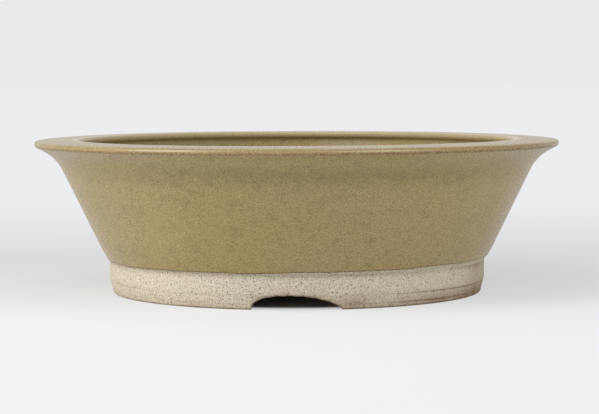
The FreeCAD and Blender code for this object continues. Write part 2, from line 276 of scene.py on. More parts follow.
grog_near = add_node(stoneware, "ShaderNodeMapRange", {
    "Value": clay_grog.outputs["Distance"], "From Min": 0.34, "From Max": 0.22, "To Max": 0.6})
grog_shows = add_node(stoneware, "ShaderNodeMath", {
    0: grog_chosen.outputs[0], 1: grog_near.outputs[0]}, operation="MULTIPLY")
clay_with_grog = add_node(stoneware, "ShaderNodeMix", {
    FACTOR: grog_shows.outputs[0], FIRST: clay_gritty.outputs[MIXED], SECOND: linear("#E2DAC8")},
    data_type="RGBA")
iron_cell = add_node(stoneware, "ShaderNodeSeparateColor", {"Color": clay_iron.outputs["Color"]})
iron_chosen = add_node(stoneware, "ShaderNodeMath", {
    0: iron_cell.outputs["Red"], 1: IRON_LIMIT}, operation="GREATER_THAN")
iron_near = add_node(stoneware, "ShaderNodeMapRange", {
    "Value": clay_iron.outputs["Distance"], "From Min": 0.24, "From Max": 0.12, "To Max": 0.8})
iron_shows = add_node(stoneware, "ShaderNodeMath", {
    0: iron_chosen.outputs[0], 1: iron_near.outputs[0]}, operation="MULTIPLY")
clay_with_iron = add_node(stoneware, "ShaderNodeMix", {
    FACTOR: iron_shows.outputs[0], FIRST: clay_with_grog.outputs[MIXED], SECOND: linear("#6B5B4B")},
    data_type="RGBA")
# Brown stains, and painted shade on the foot's right side.
clay_stain_and_shade = add_node(stoneware, "ShaderNodeAttribute", attribute_name="stain_and_shade")
stain_breaks = add_node(stoneware, "ShaderNodeMapRange", {
    "Value": clay_cloud.outputs["Fac"], "From Min": 0.3, "From Max": 0.6, "To Min": 0.55})
stain_and_shade_shows = add_node(stoneware, "ShaderNodeMath", {
    0: clay_stain_and_shade.outputs["Fac"], 1: stain_breaks.outputs[0]}, operation="MULTIPLY")
clay_stained_and_shaded = add_node(stoneware, "ShaderNodeMix", {
    FACTOR: stain_and_shade_shows.outputs[0], FIRST: clay_with_iron.outputs[MIXED], SECOND: linear("#A08A72")},
    data_type="RGBA", blend_type="MULTIPLY")
clay_relief = add_node(stoneware, "ShaderNodeMath", {
    0: clay_sand.outputs["Fac"], 1: 0.6, 2: grog_shows.outputs[0]}, operation="MULTIPLY_ADD")
clay_bump = add_node(stoneware, "ShaderNodeBump", {
    "Height": clay_relief.outputs[0], "Strength": 0.5, "Distance": 0.12 * MM})
stoneware.node_tree.links.new(clay_stained_and_shaded.outputs[MIXED], clay_finish.inputs["Base Color"])
stoneware.node_tree.links.new(clay_bump.outputs["Normal"], clay_finish.inputs["Normal"])
clay_finish.inputs["Roughness"].default_value = 0.88
clay_finish.inputs["Specular IOR Level"].default_value = 0.3
basin.data.materials.append(stoneware)

# Foot ring
# A thrown ring of the same clay, joined under the basin and left bare, tapered inward below and ground level
# where it stands. Three low arches are cut through it with a knife, and their edges are wiped round. Two
# fine lines run round the taper where the trimming tool rested. The columns lie closer over the arches.
TAPER_HEIGHT, TAPER, INNER_TAPER = 9.0, 2.0, 1.5
FOOT_ROUND, FOOT_BITE = 1.1, 0.3
ARCH_COUNT = 3
ARCH_CROWN, ARCH_LEAN, ARCH_HALF = 7.7, 5.5, 24.5
ARCH_BOW, ARCH_LEFT_FULLNESS, ARCH_RIGHT_FULLNESS = 2.2, 2.3, 1.3
KNIFE_LONG_WAVE, KNIFE_LONG_RATE, KNIFE_SHORT_WAVE, KNIFE_SHORT_RATE = 0.02, 0.9, 0.012, 2.3
ARCH_ZONE, ARCH_COLUMNS, PLAIN_COLUMNS = math.radians(15.6), 240, 70
TOOL_LINES, TOOL_LINE_WIDTH, TOOL_LINE_DEPTH = (7.3, 2.6), 0.30, 0.20
SIDE_ROWS, EDGE_ROWS, SOLE_ROWS = 44, 8, 3

third = 2 * math.pi / ARCH_COUNT
zone = np.linspace(-ARCH_ZONE, ARCH_ZONE, ARCH_COLUMNS, endpoint=False)
plain = np.linspace(ARCH_ZONE, third - ARCH_ZONE, PLAIN_COLUMNS, endpoint=False)
foot_azimuth = np.concatenate([zone, plain])[None, :] + third * np.arange(ARCH_COUNT)[:, None]
foot_azimuth = foot_azimuth.reshape(1, -1)


def arch_height(radius):
    """Height of the arches over the ground along the ring. On each side of the crown it is the crown's height
    times (1 - s to the power of the bow) to the power of 1 over the fullness, where s is the share of the way
    to the foot, with small waves from the knife."""
    across = radius * np.sin((foot_azimuth + third / 2) % third - third / 2) + ARCH_LEAN
    share = np.clip(np.abs(across) / np.where(across < 0, ARCH_HALF - ARCH_LEAN, ARCH_HALF + ARCH_LEAN), 0, 1)
    fullness = np.where(across < 0, ARCH_LEFT_FULLNESS, ARCH_RIGHT_FULLNESS)
    uneven = (1 + KNIFE_LONG_WAVE * np.sin(across * KNIFE_LONG_RATE + foot_azimuth * ARCH_COUNT)
              + KNIFE_SHORT_WAVE * np.sin(across * KNIFE_SHORT_RATE))
    return ARCH_CROWN * (1 - share ** ARCH_BOW) ** (1 / fullness) * uneven


def wiped(above):
    """How far a face draws back near a wiped edge: a quarter circle of the edge's radius."""
    left = np.clip(FOOT_ROUND - above, 0, FOOT_ROUND)
    return FOOT_ROUND - np.sqrt(FOOT_ROUND ** 2 - left ** 2)


def lifted(arch):
    """Heights of a side's rows with its foot at the arch: near the edge they keep their spacing, and above it
    they close up evenly towards the top."""
    near_edge = np.minimum(rise, FOOT_ROUND)
    return arch + near_edge + (rise - near_edge) * (1 - arch / (foot_top - FOOT_ROUND))


foot_top = crease_height + FOOT_BITE
edge = FOOT_ROUND * (1 - np.cos(np.linspace(0, math.pi / 2, EDGE_ROWS)))
rise = np.concatenate([edge, np.linspace(FOOT_ROUND, foot_top, SIDE_ROWS)[1:]])[:, None]
arch_outside = arch_height(foot_radius - TAPER)
arch_inside = arch_height(foot_inside + INNER_TAPER)
outside_up, inside_up = lifted(arch_outside), lifted(arch_inside)
grooves = sum(np.exp(-((outside_up - line) / TOOL_LINE_WIDTH) ** 2) for line in TOOL_LINES)
outside_face = (foot_radius - TAPER * np.clip(1 - outside_up / TAPER_HEIGHT, 0, 1)
                - TOOL_LINE_DEPTH * grooves - wiped(outside_up - arch_outside))
inside_face = foot_inside + INNER_TAPER * (1 - inside_up / foot_top) + wiped(inside_up - arch_inside)
across_sole = (np.arange(1, SOLE_ROWS + 1) / (SOLE_ROWS + 1))[:, None]
sole_reach = inside_face[:1] * (1 - across_sole) + outside_face[:1] * across_sole
sole_up = inside_up[:1] * (1 - across_sole) + outside_up[:1] * across_sole
foot_reach = np.concatenate([inside_face[::-1], sole_reach, outside_face])
foot_up = np.concatenate([inside_up[::-1], sole_up, outside_up])

# Stains and painted shade: a scorched line along the ground and the arches' edges, which fades upward, a
# brown flash under the glaze, a darker patch low on the right and a second one over the whole height of the
# right side, both partly brown flashing and partly painted shade, a smudge beside the front arch, and dirt in
# the tool lines, most on the right. The patches end behind. Places round the ring are in degrees from the
# front.
SCORCH, SCORCH_HEIGHT = 0.60, 0.7
SMOKE, SMOKE_HEIGHT = 0.50, 2.6
FLASH, FLASH_HEIGHT = 0.40, 3.0
PATCH, PATCH_FROM, PATCH_FULL = 0.36, 18.0, 48.0
PATCH_TOP, PATCH_FADE_BELOW, PATCH_FADE_ABOVE = 7.6, 3.5, 0.8
SIDE_PATCH, SIDE_PATCH_FROM, SIDE_PATCH_FULL = 0.45, 50.0, 72.0
PATCHES_FADE, PATCHES_END = 110.0, 160.0
SMUDGE, SMUDGE_AT, SMUDGE_UP, SMUDGE_SIZE, SMUDGE_STRETCH = 0.62, 17.0, 3.7, 4.0, 1.7
DIRT_WIDTH, DIRT_ALL_ROUND, DIRT_ON_RIGHT = 0.38, 0.12, 0.68
over_edge = np.concatenate([inside_up[::-1] - arch_inside, 0 * sole_up, outside_up - arch_outside])
degrees = np.degrees((foot_azimuth + math.pi) % (2 * math.pi) - math.pi)
scorch = SCORCH * np.exp(-(over_edge / SCORCH_HEIGHT) ** 2) + SMOKE * np.exp(-over_edge / SMOKE_HEIGHT)
flash = FLASH * soft_step(foot_up, crease_height - FLASH_HEIGHT, crease_height)
not_behind = 1 - soft_step(degrees, PATCHES_FADE, PATCHES_END)
# Darker on the right: partly brown flashing, partly painted shade.
right = soft_step(degrees, PATCH_FROM, PATCH_FULL) * not_behind
patch_low = 1 - soft_step(foot_up, PATCH_TOP - PATCH_FADE_BELOW, PATCH_TOP + PATCH_FADE_ABOVE)
side_patch = SIDE_PATCH * soft_step(degrees, SIDE_PATCH_FROM, SIDE_PATCH_FULL) * not_behind
patch = PATCH * right * patch_low + side_patch
smudge_across = foot_radius * np.radians(degrees - SMUDGE_AT) / SMUDGE_STRETCH
smudge = SMUDGE * np.exp(-(smudge_across ** 2 + (foot_up - SMUDGE_UP) ** 2) / SMUDGE_SIZE ** 2)
in_tool_lines = sum(np.exp(-((foot_up - line) / DIRT_WIDTH) ** 2) for line in TOOL_LINES)
tool_dirt = in_tool_lines * (DIRT_ALL_ROUND + DIRT_ON_RIGHT * right)
stain_and_shade = np.clip(scorch + flash + patch + smudge + tool_dirt, 0, 1)
foot_ring = add_piece("turned_foot_ring", "vessel", ["foot_ring"],
                      as_thrown(foot_reach, foot_up, foot_azimuth), {"stain_and_shade": stain_and_shade}, loop=True)
foot_ring.data.materials.append(stoneware)

# Outside glaze
# The coat of satin ash glaze over the outside and the lip. It was wiped off in a slightly wavy line above
# the foot, where it ends in a rolled brown edge, and it ends again under the lip's inner edge. Its back lies
# BITE inside the clay. The coat follows the clay's corners from the foot round the lip and into the mouth.
GLAZE, BITE = 0.5, 0.05
OUTSIDE_CORNERS = slice(1, 11)
GLAZE_AROUND, GLAZE_SPAN, GLAZE_ARC_STEPS = 340, 1.5, 8
LINE_HEIGHT, LINE_LEAN = 20.0, 1.15
LINE_WAVES = (9, 0.16, 0.8), (16, 0.12, 2.0), (31, 0.07, 0.0)
ROLL, ROLL_ROWS = 0.8, 8
SWELLING, SWELLING_AT, SWELLING_WIDTH = 0.25, 1.3, 0.8
HAUNCH_ROWS, HAUNCH_END = 12, 26.0
SEAM = 0.02


def travelled_along(outline):
    """Distance travelled along an outline at each of its points."""
    return np.concatenate([[0], np.cumsum(np.linalg.norm(np.diff(outline, axis=0), axis=1))])


def mouth_place(outline):
    """Number of the outline's point under the lip's inner edge, where the two coats meet."""
    return int(np.argmin(np.hypot(outline[:, 0] - mouth_radius, outline[:, 1] - lip_top + INNER_LIP_EDGE)))


def on_outline(outline, grown, along, depth):
    """Radii and heights at distances along an outline, each moved outward by its depth. grown is the shift of
    the outline's points for one millimetre of depth."""
    place = travelled_along(outline)
    return [np.interp(along, place, outline[:, axis]) + depth * np.interp(along, place, grown[:, axis])
            for axis in (0, 1)]


def rolled(distance):
    """Share of the full thickness at a distance from a coat's end: a quarter circle, with a slight swelling
    past it where the wet glaze gathered."""
    share = np.clip(distance / ROLL, 0, 1)
    swollen = 1 + SWELLING * np.exp(-((distance - SWELLING_AT) / SWELLING_WIDTH) ** 2)
    return np.sqrt(1 - (1 - share) ** 2) * swollen


glaze_azimuth = around(GLAZE_AROUND)
face = eased_outline(clay_corners[OUTSIDE_CORNERS], 0.0, GLAZE_SPAN, GLAZE_ARC_STEPS)
growth = eased_outline(clay_corners[OUTSIDE_CORNERS], 1.0, GLAZE_SPAN, GLAZE_ARC_STEPS) - face
travelled = travelled_along(face)
wavy = sum(size * np.sin(turns * glaze_azimuth + start) for turns, size, start in LINE_WAVES)
line_height = LINE_HEIGHT + LINE_LEAN * np.sin(glaze_azimuth) + wavy
on_haunch = slice(0, int(np.argmax(face[:, 1] > HAUNCH_END)) + 1)
line_at = np.interp(line_height, face[on_haunch, 1], travelled[on_haunch])
haunch_at = np.interp(HAUNCH_END, face[on_haunch, 1], travelled[on_haunch])
outer_end = travelled[mouth_place(face)]
past_roll = (ROLL * (1 - np.cos(np.linspace(0, math.pi / 2, ROLL_ROWS))))[:, None]
climb = np.linspace(0, 1, HAUNCH_ROWS)[1:, None]
above = travelled[(travelled > haunch_at + GLAZE_SPAN / 2) & (travelled < outer_end - SEAM)]
above = np.concatenate([above, [outer_end - SEAM, outer_end]])[:, None]
outer_along = np.concatenate([
    line_at + past_roll,
    (line_at + ROLL) * (1 - climb) + haunch_at * climb,
    np.broadcast_to(above, (len(above), GLAZE_AROUND))])
skin = on_outline(face, growth, outer_along, GLAZE * rolled(outer_along - line_at))
back = on_outline(face, growth, outer_along[::-1], -BITE)
reach, up = (np.concatenate(pair) for pair in zip(skin, back))
past_line = np.concatenate([outer_along - line_at, (outer_along - line_at)[::-1]])
to_mouth = np.concatenate([outer_end - outer_along, (outer_end - outer_along)[::-1]])

# The thin mark browns the coat: strongest along the line, where the coat breaks to brown, and faintly at the
# mouth. On the lip's outer face the brown is partly the coat breaking and partly painted shade, more so on
# the right; the darker brown low on the face and the faint brown under the lip are painted shade under the
# lip's edge. Depths on the face are measured down from the lip's top.
THIN_LINE, THIN_LINE_WIDTH = 2.0, 0.8
THIN_MOUTH, THIN_MOUTH_WIDTH = 0.2, 0.9
LIP_FACE_INSET, LIP_FACE_WIDTH = 0.2, 0.8
LIP_FACE_START, LIP_FACE_FULL = 0.4, 0.9
LOW_FACE_START, LOW_FACE_FULL = 1.9, 2.8
RIGHT_FROM, RIGHT_FULL = 0.2, 0.8
FACE_BROWN, LOW_FACE_SHADE = 0.24, 0.48
RIGHT_FACE_BROWN, RIGHT_LOW_FACE_SHADE = 0.60, 0.24
UNDER_LIP_SHADE, UNDER_LIP_IN, UNDER_LIP_OUT = 0.05, 3.0, 0.6
UNDER_LIP_START, UNDER_LIP_FULL = 2.2, 3.1

lip_face = np.exp(-(np.maximum(lip_radius + GLAZE - LIP_FACE_INSET - reach, 0) / LIP_FACE_WIDTH) ** 2)
lip_face = lip_face * (1 - soft_step(up, lip_top - LIP_FACE_FULL, lip_top - LIP_FACE_START))
low_face = 1 - soft_step(up, lip_top - LOW_FACE_FULL, lip_top - LOW_FACE_START)
on_right = soft_step(np.sin(glaze_azimuth), RIGHT_FROM, RIGHT_FULL)
# Brown where the coat breaks, and painted shade, darkest low on the face under the lip's edge.
brown_and_shade_face = lip_face * ((FACE_BROWN + LOW_FACE_SHADE * low_face) * (1 - on_right)
                         + (RIGHT_FACE_BROWN + RIGHT_LOW_FACE_SHADE * low_face) * on_right)
# Faint painted shade under the lip.
under_lip = soft_step(reach, lip_radius - UNDER_LIP_IN, lip_radius - UNDER_LIP_OUT)
under_lip = under_lip * (1 - soft_step(up, lip_top - UNDER_LIP_FULL, lip_top - UNDER_LIP_START))
outer_thin_and_shade = np.clip(THIN_LINE * np.exp(-(past_line / THIN_LINE_WIDTH) ** 2) + brown_and_shade_face
                     + UNDER_LIP_SHADE * under_lip + THIN_MOUTH * np.exp(-(to_mouth / THIN_MOUTH_WIDTH) ** 2), 0, 2)

# The pale mark lightens the coat. A fine line along the lip's front face, plain in two stretches, is partly
# glaze worn so thin that the light clay shows and partly a painted highlight. A band over the mouth's rounded
# shoulder is a painted sheen. A stretch has its share, the azimuth of its middle and its spread. A second
# mark is painted shade in the hollow under the lip, more so in front and behind.
PALE_LINE_DEPTH, PALE_LINE_LEAN, PALE_LINE_WIDTH = 1.45, 0.2, 0.33
PALE_LINE_ALL_ALONG = 0.04
PALE_LINE_STRETCHES = (0.66, -0.47, 0.013), (0.62, 0.33, 0.014)
PALE_LINE_END, PALE_LINE_WHOLE = 0.45, 0.75
SHOULDER_EDGE, SHOULDER_TOP = 0.17, 0.23
SHOULDER_FROM, SHOULDER_FULL, SHOULDER_FADE, SHOULDER_END = 1.0, 2.8, 3.6, 7.0
LIP_SHADE_HEIGHT, LIP_SHADE_WIDTH = 72.5, 5.0
LIP_SHADE_MEAN, LIP_SHADE_SWING, LIP_SHADE_START = 0.6, 0.4, -0.3

# A fine pale line along the lip's front face: partly worn glaze, partly a painted highlight.
pale_line = np.exp(-((up - lip_top + PALE_LINE_DEPTH + PALE_LINE_LEAN * np.sin(glaze_azimuth)) / PALE_LINE_WIDTH) ** 2)
pale_line_along = PALE_LINE_ALL_ALONG + sum(
    share * np.exp((np.cos(glaze_azimuth - middle) - 1) / spread) for share, middle, spread in PALE_LINE_STRETCHES)
in_front = soft_step(np.cos(glaze_azimuth), PALE_LINE_END, PALE_LINE_WHOLE)
worn_and_highlight = lip_face * pale_line * pale_line_along * (1 - on_right) * in_front
# A painted sheen over the mouth's rounded shoulder.
shoulder_sheen = (SHOULDER_EDGE + SHOULDER_TOP * soft_step(to_mouth, SHOULDER_FROM, SHOULDER_FULL)
            - (SHOULDER_EDGE + SHOULDER_TOP) * soft_step(to_mouth, SHOULDER_FADE, SHOULDER_END))
wear_and_sheen = np.clip(worn_and_highlight + shoulder_sheen, 0, 1)
# Painted shade in the hollow under the lip, more so in front and behind.
lip_shade = np.exp(-((up - LIP_SHADE_HEIGHT) / LIP_SHADE_WIDTH) ** 2)
lip_shade = lip_shade * (LIP_SHADE_MEAN + LIP_SHADE_SWING * np.cos(2 * glaze_azimuth + LIP_SHADE_START))
outside_glaze = add_piece("ash_glaze_outside", "vessel", ["outside_glaze"],
                          as_thrown(reach, up, glaze_azimuth),
                          {"thin_and_shade": outer_thin_and_shade, "lip_shade": lip_shade, "wear_and_sheen": wear_and_sheen}, loop=True)

# Satin ash glaze, olive ochre: rough enough for a broad soft sheen and no clear reflection. Soft darker
# blotches of about 5 mm, a fine speckle and a few ochre and dark flecks keep it from looking painted. The
# speckle is 0.1 to 0.3 mm on the real glaze and is drawn 0.7 mm wide so that it shows. Where the coat is
# thin, and where shade is painted on and under the lip's outer face, brown shows in specks and patches.
# Painted shade darkens the hollow under the lip, and a painted highlight and sheen, with some wear, pale it
# in places. A cell of the fleck pattern holds a fleck where its own random number is above the limit, and a
# second number says whether it is ochre or dark.
SPECKLE_SIZE, BLOTCH_SIZE, TONE_SIZE, FLECK_PITCH = 0.7 * MM, 5.0 * MM, 60 * MM, 6.5 * MM
FLECK_LIMIT, OCHRE_LIMIT = 0.64, 0.45
ash_glaze, glaze_finish = new_material("satin_ash_glaze")
glaze_place = add_node(ash_glaze, "ShaderNodeTexCoord").outputs["Object"]
glaze_speckle = add_node(ash_glaze, "ShaderNodeTexNoise", {
    "Vector": glaze_place, "Scale": 1 / SPECKLE_SIZE, "Detail": 2.0, "Roughness": 0.65})
glaze_blotch = add_node(ash_glaze, "ShaderNodeTexNoise", {
    "Vector": glaze_place, "Scale": 1 / BLOTCH_SIZE, "Detail": 3.0, "Roughness": 0.55})
glaze_tone = add_node(ash_glaze, "ShaderNodeTexNoise", {
    "Vector": glaze_place, "Scale": 1 / TONE_SIZE, "Detail": 1.0})
tone_spread = add_node(ash_glaze, "ShaderNodeMapRange", {
    "Value": glaze_tone.outputs["Fac"], "From Min": 0.35, "From Max": 0.65})
glaze_ground = add_node(ash_glaze, "ShaderNodeMix", {
    FACTOR: tone_spread.outputs[0], FIRST: linear("#A99B6F"), SECOND: linear("#AD9D75")}, data_type="RGBA")
blotch_spread = add_node(ash_glaze, "ShaderNodeMapRange", {
    "Value": glaze_blotch.outputs["Fac"], "From Min": 0.50, "From Max": 0.70, "To Max": 0.40})
glaze_blotched = add_node(ash_glaze, "ShaderNodeMix", {
    FACTOR: blotch_spread.outputs[0], FIRST: glaze_ground.outputs[MIXED], SECOND: linear("#887959")},
    data_type="RGBA")
glaze_grain = add_node(ash_glaze, "ShaderNodeValToRGB", {"Fac": glaze_speckle.outputs["Fac"]}, stops=[
    (0.30, linear("#C6BFAD")), (0.70, linear("#FFFFF4")),
    (0.46, linear("#DFD9CA")), (0.57, linear("#EFEADB"))])
glaze_grained = add_node(ash_glaze, "ShaderNodeMix", {
    FACTOR: 1.0, FIRST: glaze_blotched.outputs[MIXED], SECOND: glaze_grain.outputs["Color"]},
    data_type="RGBA", blend_type="MULTIPLY")
# Painted shade under the lip darkens the coat here.
glaze_lip_shade = add_node(ash_glaze, "ShaderNodeAttribute", attribute_name="lip_shade")
lip_shade_shows = add_node(ash_glaze, "ShaderNodeMapRange", {
    "Value": glaze_lip_shade.outputs["Fac"], "To Max": 0.5})
glaze_shaded = add_node(ash_glaze, "ShaderNodeMix", {
    FACTOR: lip_shade_shows.outputs[0], FIRST: glaze_grained.outputs[MIXED], SECOND: linear("#D2D2CC")},
    data_type="RGBA", blend_type="MULTIPLY")
glaze_fleck = add_node(ash_glaze, "ShaderNodeTexVoronoi", {"Vector": glaze_place, "Scale": 1 / FLECK_PITCH})
fleck_cell = add_node(ash_glaze, "ShaderNodeSeparateColor", {"Color": glaze_fleck.outputs["Color"]})
fleck_chosen = add_node(ash_glaze, "ShaderNodeMath", {
    0: fleck_cell.outputs["Red"], 1: FLECK_LIMIT}, operation="GREATER_THAN")
fleck_near = add_node(ash_glaze, "ShaderNodeMapRange", {
    "Value": glaze_fleck.outputs["Distance"], "From Min": 0.13, "From Max": 0.05, "To Max": 0.7})
fleck_shows = add_node(ash_glaze, "ShaderNodeMath", {
    0: fleck_chosen.outputs[0], 1: fleck_near.outputs[0]}, operation="MULTIPLY")
fleck_is_ochre = add_node(ash_glaze, "ShaderNodeMath", {
    0: fleck_cell.outputs["Green"], 1: OCHRE_LIMIT}, operation="GREATER_THAN")
fleck_colour = add_node(ash_glaze, "ShaderNodeMix", {
    FACTOR: fleck_is_ochre.outputs[0], FIRST: linear("#6E5E40"), SECOND: linear("#C9B98A")}, data_type="RGBA")
glaze_flecked = add_node(ash_glaze, "ShaderNodeMix", {
    FACTOR: fleck_shows.outputs[0], FIRST: glaze_shaded.outputs[MIXED], SECOND: fleck_colour.outputs[MIXED]},
    data_type="RGBA")
# Brown where the coat breaks thin, and painted shade on and under the lip's outer face.
glaze_thin_and_shade = add_node(ash_glaze, "ShaderNodeAttribute", attribute_name="thin_and_shade")
thin_breaks = add_node(ash_glaze, "ShaderNodeMapRange", {
    "Value": glaze_speckle.outputs["Fac"], "From Min": 0.55, "From Max": 0.45, "To Min": 0.18})
thin_patches = add_node(ash_glaze, "ShaderNodeMapRange", {
    "Value": glaze_blotch.outputs["Fac"], "From Min": 0.62, "From Max": 0.42, "To Min": 0.9, "To Max": 2.0})
thin_and_shade_broken = add_node(ash_glaze, "ShaderNodeMath", {
    0: glaze_thin_and_shade.outputs["Fac"], 1: thin_breaks.outputs[0]}, operation="MULTIPLY")
thin_and_shade_shows = add_node(ash_glaze, "ShaderNodeMath", {
    0: thin_and_shade_broken.outputs[0], 1: thin_patches.outputs[0]}, operation="MULTIPLY", use_clamp=True)
thin_and_shade_colour = add_node(ash_glaze, "ShaderNodeValToRGB", {"Fac": glaze_thin_and_shade.outputs["Fac"]}, stops=[
    (0.40, linear("#8F6D46")), (1.0, linear("#54432E")), (0.76, linear("#6F5A40"))])
glaze_browned = add_node(ash_glaze, "ShaderNodeMix", {
    FACTOR: thin_and_shade_shows.outputs[0], FIRST: glaze_flecked.outputs[MIXED], SECOND: thin_and_shade_colour.outputs["Color"]},
    data_type="RGBA")
# The pale mark: a painted highlight and sheen, and worn glaze, lighten the coat.
glaze_wear_and_sheen = add_node(ash_glaze, "ShaderNodeAttribute", attribute_name="wear_and_sheen")
glaze_paled = add_node(ash_glaze, "ShaderNodeMix", {
    FACTOR: glaze_wear_and_sheen.outputs["Fac"], FIRST: glaze_browned.outputs[MIXED], SECOND: linear("#E2D6BC")},
    data_type="RGBA")
glaze_satin = add_node(ash_glaze, "ShaderNodeMapRange", {
    "Value": glaze_speckle.outputs["Fac"], "From Min": 0.3, "From Max": 0.7, "To Min": 0.24, "To Max": 0.31})
glaze_bump = add_node(ash_glaze, "ShaderNodeBump", {
    "Height": glaze_speckle.outputs["Fac"], "Strength": 0.08, "Distance": 0.05 * MM})
glaze_finish.inputs["Specular IOR Level"].default_value = 0.28
ash_glaze.node_tree.links.new(glaze_paled.outputs[MIXED], glaze_finish.inputs["Base Color"])
ash_glaze.node_tree.links.new(glaze_satin.outputs[0], glaze_finish.inputs["Roughness"])
ash_glaze.node_tree.links.new(glaze_bump.outputs["Normal"], glaze_finish.inputs["Normal"])
outside_glaze.data.materials.append(ash_glaze)

# Inside glaze
# The same coat over the inside, poured in and emptied out, from under the lip's inner edge to the middle of
# the floor. It follows the faint spiral that the fingers left when the basin was thrown. Just under the
# mouth it is a little browner where the coat breaks, and paler with a painted sheen.
INSIDE_CORNERS = slice(8, None)
WELL_SPAN = 2.25
SPIRAL_PITCH, SPIRAL_DEPTH, SPIRAL_FROM, SPIRAL_FULL = 9.0, 0.13, 6.0, 16.0
INNER_THIN, INNER_SHEEN, INNER_THIN_FROM, INNER_THIN_END = 0.20, 0.22, 0.6, 3.2
well = eased_outline(clay_corners[INSIDE_CORNERS], 0.0, WELL_SPAN)
well_growth = eased_outline(clay_corners[INSIDE_CORNERS], 1.0, WELL_SPAN) - well
below_mouth = mouth_place(well)
inner_start = travelled_along(well)[below_mouth]
inner_along = np.concatenate([[inner_start, inner_start + SEAM], travelled_along(well)[below_mouth + 1:]])
inner_along = inner_along[:, None]
from_mouth = inner_along - inner_start
spiral = 0.5 - 0.5 * np.cos(2 * math.pi * inner_along / SPIRAL_PITCH - glaze_azimuth)
inner_thickness = GLAZE - SPIRAL_DEPTH * spiral * soft_step(from_mouth, SPIRAL_FROM, SPIRAL_FULL)
skin = on_outline(well, well_growth, inner_along, inner_thickness)
back = on_outline(well, well_growth, inner_along[::-1], np.full((1, GLAZE_AROUND), -BITE))
reach, up = (np.concatenate(pair) for pair in zip(back, skin))
under_mouth = np.concatenate([from_mouth[::-1], from_mouth])
under_mouth = 1 - soft_step(under_mouth, INNER_THIN_FROM, INNER_THIN_END)
# Under the mouth: brown where the coat breaks, and a painted sheen that pales it.
inside_glaze = add_piece("ash_glaze_inside", "vessel", ["inside_glaze"],
                         as_thrown(np.maximum(reach, 0), up, glaze_azimuth),
                         {"thin_and_shade": INNER_THIN * under_mouth, "wear_and_sheen": INNER_SHEEN * under_mouth})
inside_glaze.data.materials.append(ash_glaze)

# Rubber ring of the needle frog
# A moulded ring of black rubber that the lead disc is pressed into, so that it neither slides nor scratches
# the glaze: a sole under the disc's edge and a low wall round it.
RING_WALL, RING_SOLE, RING_SOLE_WIDTH, RING_GAP, RING_ROUND = 2.0, 1.0, 4.5, 0.1, 0.5
RING_AROUND = 192
ring_radius, _, ring_top = (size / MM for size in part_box("kenzan_rubber_ring")[1])
ring_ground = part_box("kenzan_rubber_ring")[0].z / MM
frog_radius, _, frog_top = (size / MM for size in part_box("kenzan_base")[1])
ring_corners = [
    (frog_radius - RING_SOLE_WIDTH, ring_ground, 0.0),
    (ring_radius, ring_ground, RING_ROUND),
    (ring_radius, ring_top, RING_ROUND),
    (ring_radius - RING_WALL, ring_top, RING_ROUND / 2),
    (frog_radius + RING_GAP, ring_ground + RING_SOLE, 0.0),
    (frog_radius - RING_SOLE_WIDTH, ring_ground + RING_SOLE, 0.0),
]
ring_line = eased_outline(ring_corners, span=1.5, arc_steps=5)
ring_azimuth = around(RING_AROUND)
ring_grid = np.stack(np.broadcast_arrays(
    ring_line[:, :1] * np.sin(ring_azimuth), -ring_line[:, :1] * np.cos(ring_azimuth), ring_line[:, 1:]),
    axis=-1)
rubber_ring = add_piece("frog_rubber_ring", "kenzan", ["kenzan_rubber_ring"],
                        ring_grid, loop=True)

# Moulded black rubber: matt and nearly black, greyed a little by wear and dried water in soft patches.
RUBBER_CLOUD_SIZE = 5 * MM
rubber, rubber_finish = new_material("moulded_black_rubber")
rubber_place = add_node(rubber, "ShaderNodeTexCoord").outputs["Object"]
rubber_wear = add_node(rubber, "ShaderNodeTexNoise", {
    "Vector": rubber_place, "Scale": 1 / RUBBER_CLOUD_SIZE, "Detail": 4.0})
rubber_colour = add_node(rubber, "ShaderNodeMix", {
    FACTOR: rubber_wear.outputs["Fac"], FIRST: linear("#1B1B1B"), SECOND: linear("#3A3937")},
    data_type="RGBA")
rubber.node_tree.links.new(rubber_colour.outputs[MIXED], rubber_finish.inputs["Base Color"])
rubber_finish.inputs["Roughness"].default_value = 0.75
rubber_ring.data.materials.append(rubber)

# Lead base of the needle frog
# A heavy disc cast in lead round the needles. The melt sank a little as it cooled, so the top is slightly
# uneven and climbs in a small collar round every needle.
NEEDLES_PER_RING, NEEDLE_PITCH, NEEDLE_MARGIN = 6, 5.5, 3.5
LEAD_AROUND, LEAD_SPAN, LEAD_ROUND, LEAD_FOOT_ROUND = 480, 0.5, 1.2, 0.3
SINK, COLLAR_WIDTH, SUNK_BAND = 0.35, 0.9, 0.4
ROLLING, ROLLING_RATE, ROLLING_ACROSS, ROLLING_ASLANT = 0.04, 0.31, 0.27, 0.13
lead_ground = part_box("kenzan_base")[0].z / MM
rings = np.arange(1, int((frog_radius - NEEDLE_MARGIN) / NEEDLE_PITCH) + 1)
ring_of_needle = np.repeat(rings, NEEDLES_PER_RING * rings)
needles_before = NEEDLES_PER_RING * ring_of_needle * (ring_of_needle - 1) // 2
step_of_needle = np.arange(len(ring_of_needle)) - needles_before
needle_angle = 2 * math.pi * step_of_needle / (NEEDLES_PER_RING * ring_of_needle)
needle_x = np.concatenate([[0], ring_of_needle * NEEDLE_PITCH * np.cos(needle_angle)])
needle_y = np.concatenate([[0], ring_of_needle * NEEDLE_PITCH * np.sin(needle_angle)])
lead_corners = [
    (0.0, lead_ground, 0.0),
    (frog_radius, lead_ground, LEAD_FOOT_ROUND),
    (frog_radius, frog_top, LEAD_ROUND),
    (0.0, frog_top, 0.0),
]
lead_line = eased_outline(lead_corners, span=LEAD_SPAN, arc_steps=6)
lead_azimuth = around(LEAD_AROUND)
lead_x, lead_y = lead_line[:, :1] * np.sin(lead_azimuth), -lead_line[:, :1] * np.cos(lead_azimuth)
